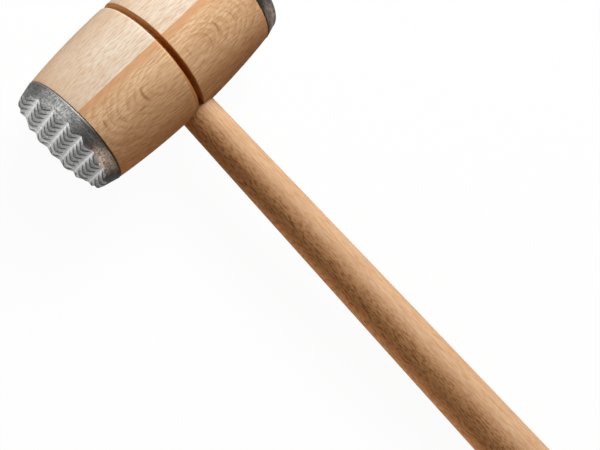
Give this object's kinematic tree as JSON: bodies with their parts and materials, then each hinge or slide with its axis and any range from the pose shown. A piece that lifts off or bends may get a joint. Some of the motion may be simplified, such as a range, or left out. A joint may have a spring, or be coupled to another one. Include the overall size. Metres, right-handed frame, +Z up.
{
  "type": "meat mallet",
  "caption": "Wooden meat mallet with a turned barrel head, a toothed metal cap, a smooth metal cap and a tapered round handle.",
  "frame": {"origin": "on the surface that the mallet lies on, under the middle of its box", "axes": "+X along the handle away from the head, +Z up, the toothed cap faces -Y and the smooth cap faces +Y"},
  "size_m": [0.33, 0.1082, 0.06],
  "materials": {
    "pale_wood": "sanded, unvarnished pale board",
    "tan_wood": "sanded, unvarnished tan board",
    "handle_wood": "sanded, unvarnished turned wood",
    "toothed_metal": "cast, bright on the teeth and matt grey on the side",
    "smooth_metal": "cast, matt grey side and smooth face",
    "pin_steel": "bare steel"
  },
  "bodies": {
    "root": {"head_pale_board": "pale_wood", "head_tan_board": "tan_wood", "handle": "handle_wood", "toothed_cap": "toothed_metal", "smooth_cap": "smooth_metal", "toothed_cap_pin": "pin_steel", "smooth_cap_pin": "pin_steel"}
  },
  "joints": []
}
